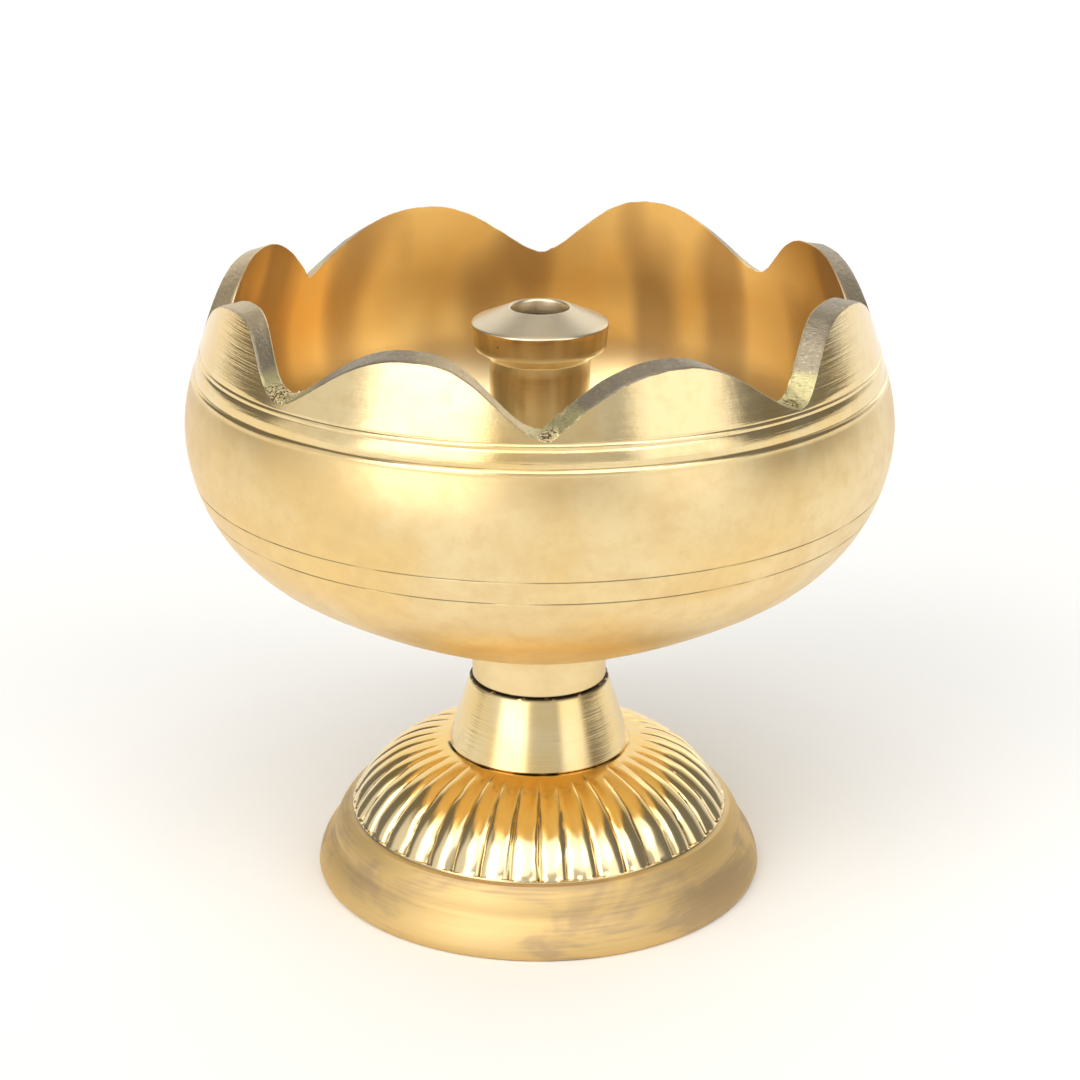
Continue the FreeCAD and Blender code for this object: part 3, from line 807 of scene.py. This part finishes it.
# %% Spin the spool
bm = turned(spool_section(), 160)
spool = make_piece(bm, "lamp_wick_holder", [spool_brass()])
drill_ports(spool, PORT_HEIGHT, PORT_RADIUS, PORTS)
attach(spool, "wick_holder")
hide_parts("wick_holder")
low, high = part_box("wick_holder")
print(f"spool stands {low.z / MM:.1f} to {high.z / MM:.1f} mm, as in the frame")

# %% [markdown]
# ## The collar
#
# A short turned cone hides the stud between bowl and foot. Its two ends are broken by a touch of
# the tool, and those small breaks make the seams, where black polish stays for good.

# %% Finish of the collar
def collar_brass():
    brass = Brass("collar_brass")
    clouds = brass.cloud(brass.mm, 0.14, 2.0, 0.5)
    tint = brass.blend(clouds.step(0.35, 0.65), PALE, (0.85, 0.63, 0.29, 1))
    shadow = brass.cloud(brass.stretched(brass.mm, 0.5, 0.5, 0.14), 1.0, 2.0).step(0.60, 0.78)
    tint = brass.blend(shadow * 0.25, tint, OLIVE)
    # Painted reflection: a brown streak low on the front right of the collar stands in for a dark
    # part of the room mirrored there.
    handled_and_painted_reflection = brass.x.near(6.2, 2.2) * brass.y.step(-2, -4) * brass.z.step(20.5, 15.5)
    tint = brass.blend(handled_and_painted_reflection * 0.45, tint, BROWN)
    upper = brass.z.near(22.5, 0.42) * brass.cloud(brass.mm, 0.8, 2.0).step(0.28, 0.46)
    lower = brass.z.near(14.65, 0.30) * brass.cloud(brass.mm, 0.22, 2.0).step(0.42, 0.60)
    dirt = (upper * brass.radius.step(6.7, 7.3)).at_least(lower * brass.radius.step(9.0, 9.6))
    color = brass.blend(dirt, tint, TARNISH)
    roughness = 0.21 + 0.10 * (brass.around(0.2, 2.2) - 0.5) + 0.35 * dirt
    return brass.wire(color, roughness, (
        (brass.lathe(3.2), 0.016), (brass.around(0.4, 10.0), 0.003)))


# %% Spin the collar
PASSAGE_RADIUS, COLLAR_FOOT, COLLAR_HEAD = 3.3, 14.65, 22.5


def collar_section():
    pen = Section(PASSAGE_RADIUS, COLLAR_FOOT)
    pen.line(9.75, COLLAR_FOOT, 4).arc(9.98, COLLAR_FOOT + 0.25, 0.25, 2)
    pen.line(7.68, COLLAR_HEAD - 0.22, 16).arc(7.45, COLLAR_HEAD, 0.25, 2)
    pen.line(PASSAGE_RADIUS, COLLAR_HEAD, 3).line(PASSAGE_RADIUS, COLLAR_FOOT + 0.35, 4)
    return pen.close()


collar = make_piece(turned(collar_section(), 256), "lamp_collar", [collar_brass()])
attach(collar, "pedestal")
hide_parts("collar")

# %% [markdown]
# ## The foot
#
# The foot is a hollow casting, turned outside and left rough inside. Its dome carries forty reeds,
# chased by hand with a round-nosed tool: broad, softly rounded backs with narrow grooves between
# them, crisp at the shoulder and running out near the collar. No two grooves are the same width or
# stand quite straight. The spin gives a plain dome, and its points are then pressed inward along
# their normals, by a groove pattern that wanders with the bearing and fades up the dome.

# %% Reeds
REEDS = 40
REED_DEPTH = 0.58
REED_SWELL = 0.32
DOME_FOOT, DOME_HEAD = (20.8, 7.6), (10.0, 14.65)
DOME_BEND = 15.8


def reed_place(angle, climb):
    """Count of reeds passed at a bearing, with the wander of a hand-held tool."""
    wander = 0.26 * noise.noise(Vector((angle * 0.11, 0.0, 3)))
    lean = 0.10 * climb * noise.noise(Vector((angle * 0.06, 5.0, 3)))
    shake = 0.045 * noise.noise(Vector((angle * 0.3, climb * 7.0, 6)))
    return angle / 360 * REEDS + wander + lean + shake


def reed_groove(angle, climb):
    """0 on the back of a reed and 1 at the bottom of the groove, then the same for its dirt."""
    place = reed_place(angle, climb)
    across = abs((place % 1.0) - 0.5) * 2
    narrow = 7 + 4 * noise.noise(Vector((math.floor(place + 0.5) * 3.7, 1.0, 8)))
    return 0.62 * across ** 2 + 0.38 * across ** narrow, across ** (2 * narrow)


def reed_fade(climb, angle):
    """Full depth at the shoulder, nothing near the collar."""
    last = 0.92 + 0.10 * noise.noise(Vector((reed_place(angle, 0) * 0.9, 2.0, 5)))
    return ramp(last - climb, 0, last) ** 0.5


# %% [markdown]
# ### Finish of the foot
#
# The dome is the brightest part of the lamp, because the chasing tool burnished it, and its lower
# half is also tinted pale cream as a painted highlight. The band below was only brushed, level
# with the table, and has clouded brown where it is handled. Polish and dust darken the grooves,
# and the mesh says where those are. The inside is raw casting.

# %% Finishes of the foot
def foot_outside():
    brass = Brass("foot_outside")
    dome = brass.z.step(7.15, 7.45)
    groove = brass.node("ShaderNodeAttribute", {"attribute_name": "groove"}, output=2)
    clouds = brass.cloud(brass.mm, 0.10, 3.0, 0.55, 0.3)
    rich = (0.860, 0.590, 0.200, 1)
    tint = brass.blend(clouds.step(0.35, 0.65), YELLOW, rich)
    tint = brass.blend((1 - dome) * 0.7, tint, (0.660, 0.490, 0.240, 1))
    # Painted highlight: the lower dome is tinted pale cream, which stands in for the even bright
    # reflection on the reed backs.
    pale_painted_highlight = dome * brass.z.step(13.0, 9.5)
    tint = brass.blend(pale_painted_highlight * 0.8, tint, (0.900, 0.745, 0.455, 1))
    stain = brass.cloud(brass.stretched(brass.mm, 0.075, 0.075, 0.20), 1.0, 3.0, 0.6, 0.6)
    brushed = brass.around(0.10, 3.5)
    stain = (stain + (brushed - 0.5) * 0.25).step(0.46, 0.64) * (1 - dome)
    tint = brass.blend(stain * 0.62, tint, (0.46, 0.34, 0.22, 1))
    dirt = groove.step(0.15, 0.9) * 0.75
    tint = brass.blend(dirt, tint, (0.20, 0.150, 0.065, 1))
    seam = brass.radius.near(10.05, 0.30) * brass.z.step(14.2, 14.5)
    seam = seam * brass.cloud(brass.mm, 0.22, 2.0).step(0.42, 0.6)
    root = brass.z.near(7.35, 0.16) * 0.45
    color = brass.blend(seam.at_least(root), tint, TARNISH)
    satin = 0.57 + 0.16 * (brushed - 0.5) + 0.05 * stain
    bright = 0.17 + 0.06 * (clouds - 0.5) + 0.2 * dirt
    roughness = satin + (bright - satin) * dome
    return brass.wire(color, roughness, (
        (brushed * (1 - dome), 0.012),
        (brass.cloud(brass.mm, 0.9, 3.0), 0.006),
        (brass.cloud(brass.mm, 0.35, 2.0), 0.020)))


def foot_casting():
    brass = Brass("foot_casting")
    sand = brass.cloud(brass.mm, 1.6, 5.0, 0.7)
    clouds = brass.cloud(brass.mm, 0.14, 3.0)
    tint = brass.blend(clouds.step(0.3, 0.7), (0.50, 0.37, 0.18, 1), (0.30, 0.22, 0.12, 1))
    return brass.wire(tint, 0.52 + 0.2 * (sand - 0.5), ((sand, 0.12),))


# %% Spin the foot and chase its reeds
FOOT_STEPS, DOME_STEPS = 960, 30
SOLE_RADIUS, BULGE, BAND, SHOULDER = 22.0, (24.75, 0.6), (22.95, 4.2), (21.55, 7.05)
HUB_RADIUS, HUB_FOOT, VAULT, SKIRT = 9.0, 11.0, (13.05, 11.8), (20.1, 5.0)


def foot_section():
    pen = Section(SOLE_RADIUS, 0)
    pen.line(24.1, 0, 2).arc(24.66, 0.3, 0.6, 3).line(*BULGE)
    pen.arc(*BAND, 6.0, 8).arc(*SHOULDER, 6.0, 7).arc(21.40, 7.2, 0.2, 2)
    pen.line(20.95, 7.28).line(20.88, 7.36).line(20.85, 7.48).line(*DOME_FOOT)
    pen.note(way=1e-4)
    start, finish = (Vector((spot[0], 0, spot[1])) for spot in (DOME_FOOT, DOME_HEAD))
    centre, sweep = arc_centre(start, finish, DOME_BEND)
    for step in range(1, DOME_STEPS + 1):
        share = step / DOME_STEPS
        spot = Matrix.Rotation(-sweep * share, 3, "Y") @ (start - centre) + centre
        pen.line(spot.x, spot.z).note(way=share)
    pen.line(PASSAGE_RADIUS, COLLAR_FOOT, 2)
    pen.side = 1.0
    pen.line(PASSAGE_RADIUS, HUB_FOOT).line(HUB_RADIUS, HUB_FOOT, 2)
    pen.line(HUB_RADIUS, VAULT[1]).line(*VAULT, 2)
    pen.arc(*SKIRT, -13.9, 5).line(21.5, 2.5, 2)
    return pen.close()


bm = turned(foot_section(), FOOT_STEPS)
notes = {name: bm.verts.layers.float[name] for name in ("way", "side")}
groove_note = bm.verts.layers.float.new("groove")
for face in bm.faces:
    face.material_index = min(1, side_of(face, notes["side"]))
deepest = 0.0
for vert in bm.verts:
    way = vert[notes["way"]]
    if way:
        angle = bearing(vert.co)
        groove, dirt = reed_groove(angle, way)
        fade = reed_fade(way, angle)
        press = groove * fade
        vert[groove_note] = dirt * min(1.0, 1.5 * fade)
        deepest = max(deepest, press * REED_DEPTH)
        wobble = 0.05 * noise.noise(vert.co * 0.5) * ramp(1 - way, 0, 0.25)
        swell = REED_SWELL * math.sin(math.pi * way)
        vert.co -= vert.normal * (press * REED_DEPTH + wobble - swell)
print(f"reeds pressed {deepest:.2f} mm deep")
bm.normal_update()
foot = make_piece(bm, "lamp_foot", [foot_outside(), foot_casting()], keep=("groove",), crease=40)
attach(foot, "pedestal")
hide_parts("foot")

# %% [markdown]
# ## The stud
#
# A plain M6 stud, cut from threaded brass rod, runs from the bowl's boss to the nut. Its thread is
# a real helix: the section of one turn is spun round the axis while it climbs one pitch a turn.
# The rod is then cut to length, and its two ends are eased with a file. Only someone who unscrews
# the bowl or turns the lamp over sees it.

# %% Thread the stud
PITCH, STUD_RADIUS, ROOT_RADIUS = 1.0, 2.98, 2.40
STUD_FOOT, STUD_HEAD, STUD_EASE = 1.8, 28.0, 0.5
TURN_STEPS = 36


def threaded_rod():
    turns = math.ceil((STUD_HEAD - STUD_FOOT) / PITCH) + 3
    low = STUD_FOOT - PITCH
    pen = Section(ROOT_RADIUS, low)
    for radius, rise in (
            (ROOT_RADIUS, 0.12), (STUD_RADIUS, 0.47), (STUD_RADIUS, 0.65), (ROOT_RADIUS, 1.0)):
        pen.line(radius, low + rise * PITCH)
    bm = pen.bm
    bmesh.ops.spin(bm, geom=bm.verts[:] + bm.edges[:], cent=(0, 0, 0), axis=(0, 0, 1),
                   dvec=(0, 0, PITCH / TURN_STEPS), angle=math.tau * turns,
                   space=Matrix.Identity(4), steps=TURN_STEPS * turns, use_merge=False,
                   use_normal_flip=False, use_duplicate=False)
    bmesh.ops.remove_doubles(bm, verts=bm.verts, dist=1e-3)
    for height, up in ((STUD_FOOT, -1), (STUD_HEAD, 1)):
        bmesh.ops.bisect_plane(bm, geom=bm.verts[:] + bm.edges[:] + bm.faces[:], dist=1e-5,
                               plane_co=(0, 0, height), plane_no=(0, 0, up), clear_outer=True)
    open_edges = [edge for edge in bm.edges if edge.is_boundary]
    bmesh.ops.holes_fill(bm, edges=open_edges, sides=0)
    for vert in bm.verts:
        inset = min(vert.co.z - STUD_FOOT, STUD_HEAD - vert.co.z)
        limit = STUD_RADIUS - STUD_EASE + max(0.0, inset)
        reach = math.hypot(vert.co.x, vert.co.y)
        if reach > limit:
            vert.co.x *= limit / reach
            vert.co.y *= limit / reach
    bmesh.ops.recalc_face_normals(bm, faces=bm.faces)
    return bm


def stud_brass():
    brass = Brass("stud_brass")
    clouds = brass.cloud(brass.mm, 0.5, 3.0)
    tint = brass.blend(clouds.step(0.3, 0.7), (0.74, 0.57, 0.29, 1), (0.58, 0.42, 0.20, 1))
    dirt = brass.radius.step(2.75, 2.45) * 0.5
    color = brass.blend(dirt, tint, TARNISH)
    return brass.wire(color, 0.28 + 0.2 * (clouds - 0.5), ((brass.lathe(5.0), 0.006),))


stud = make_piece(threaded_rod(), "lamp_stud", [stud_brass()], crease=50)
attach(stud, "stud")
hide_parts("tie_stud")

# %% [markdown]
# ## Washers and nut
#
# The three steel parts keep their frame shapes, which are already exact. They only need zinc
# plating: a bluish grey metal with a faint crystal pattern, dulled where fingers have touched it.

# %% Zinc plating
def zinc(name, light, dark, roughness):
    steel = Brass(name)
    spangle = steel.node("ShaderNodeTexVoronoi", {"feature": "F1"},
                         {"Vector": steel.mm, "Scale": 0.9})
    clouds = steel.cloud(steel.mm, 0.35, 3.0)
    tint = steel.blend((0.6 * clouds + 0.4 * spangle).step(0.3, 0.7), light, dark)
    rust = steel.cloud(steel.mm, 0.8, 4.0, 0.7).step(0.64, 0.78)
    color = steel.blend(rust * 0.35, tint, (0.20, 0.13, 0.08, 1))
    rough = roughness + 0.15 * (clouds - 0.5) + 0.2 * rust
    return steel.wire(color, rough, ((steel.cloud(steel.mm, 2.5, 3.0), 0.01),))


STEEL = {
    "flat_washer": zinc("washer_zinc", (0.66, 0.67, 0.68, 1), (0.46, 0.47, 0.48, 1), 0.32),
    "spring_washer": zinc("spring_zinc", (0.50, 0.50, 0.50, 1), (0.34, 0.34, 0.34, 1), 0.40),
    "hex_nut": zinc("nut_zinc", (0.70, 0.69, 0.65, 1), (0.50, 0.49, 0.45, 1), 0.28),
}
for node, finish in STEEL.items():
    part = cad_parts[node]
    part.material_slots[0].material = finish
    print(node, "plated")
